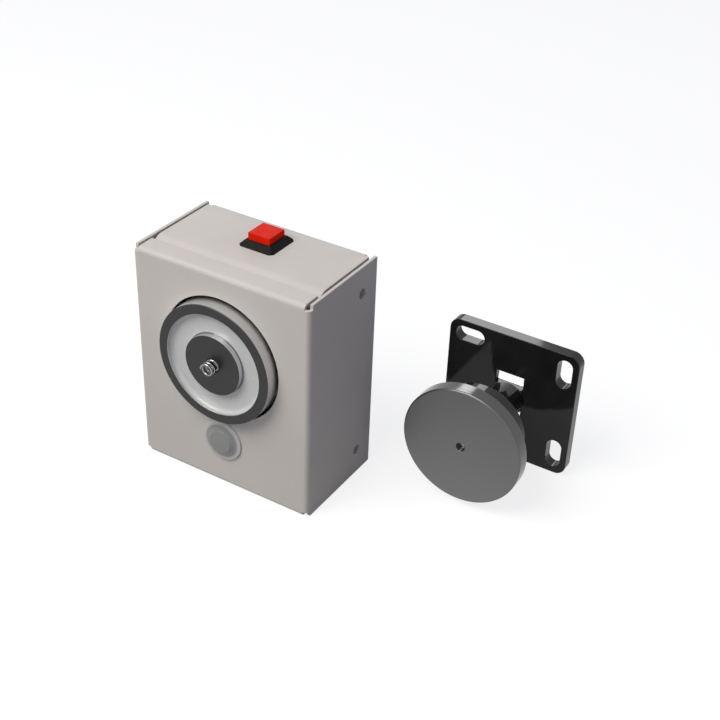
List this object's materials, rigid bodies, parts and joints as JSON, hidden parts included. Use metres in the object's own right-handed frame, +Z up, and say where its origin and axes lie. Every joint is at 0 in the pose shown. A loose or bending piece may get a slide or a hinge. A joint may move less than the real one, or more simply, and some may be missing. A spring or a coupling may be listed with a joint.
{
  "type": "electromagnetic door holder",
  "caption": "Wall magnet in a folded grey housing with a red release button, and its swivelling armature disc on a slotted plate.",
  "frame": {"origin": "middle of the wall screw pattern, on the housing's back face", "axes": "+X to the right seen from the front, +Y into the wall, +Z up"},
  "size_m": [0.1655, 0.1039, 0.1095],
  "materials": {
    "painted_sheet": "light grey powder coat with a fine texture",
    "grey_plastic": "mid grey moulded plastic",
    "magnet_steel": "turned soft iron, plated, with a ground dark pole face",
    "natural_nylon": "natural nylon",
    "copper_wire": "enamelled copper wire",
    "grey_resin": "cast light grey resin",
    "spring_steel": "bright spring steel",
    "zinc_steel": "bright zinc plating",
    "black_steel": "black oxide",
    "board_green": "glass-fibre board with green solder mask",
    "green_plastic": "green polyamide",
    "brass_contact": "tin-flashed brass",
    "black_plastic": "black moulded plastic",
    "red_plastic": "red moulded plastic with a soft gloss",
    "gloss_black": "deep black gloss coating",
    "armature_steel": "satin ground steel, plated"
  },
  "bodies": {
    "housing": {"cover": "painted_sheet", "base_chassis": "painted_sheet", "blanking_plug": "grey_plastic", "magnet_pot": "magnet_steel", "coil_bobbin": "natural_nylon", "coil_winding": "copper_wire", "potting_resin": "grey_resin", "release_spring": "spring_steel", "magnet_bracket": "zinc_steel", "bracket_screws": "zinc_steel", "magnet_screw": "black_steel", "lock_washer": "spring_steel", "circuit_board": "board_green", "board_posts": "zinc_steel", "board_screws": "zinc_steel", "terminal_block": "green_plastic", "terminal_clamps": "brass_contact", "terminal_screws": "zinc_steel", "diode": "black_plastic", "button_housing": "black_plastic", "button_spring": "spring_steel", "button_terminals": "brass_contact", "keeper_plate": "gloss_black", "swivel_housing": "gloss_black", "clamp_plate": "zinc_steel", "clamp_screw": "zinc_steel", "retaining_ring": "black_steel"},
    "button": {"button_cap": "red_plastic", "contact_bridge": "brass_contact"},
    "swivel": {"ball_liner": "natural_nylon"},
    "armature": {"ball_stud": "spring_steel", "lock_nut": "zinc_steel", "armature_disc": "armature_steel"}
  },
  "joints": [
    {"name": "button_press", "type": "slide", "parent": "housing", "child": "button", "axis": [0, 0, -1], "range_m": [0, 0.0022], "stiffness_N_per_m": 400, "springref_m": -0.003, "deforming": ["button_spring"]},
    {"name": "armature_nod", "type": "hinge", "parent": "housing", "child": "swivel", "pos_m": [0.091, 0.012, -0.021], "axis": [1, 0, 0], "range_deg": [-8, 8]},
    {"name": "armature_turn", "type": "hinge", "parent": "swivel", "child": "armature", "pos_m": [0.091, 0.012, -0.021], "axis": [0, 0, 1], "range_deg": [-8, 8]}
  ]
}
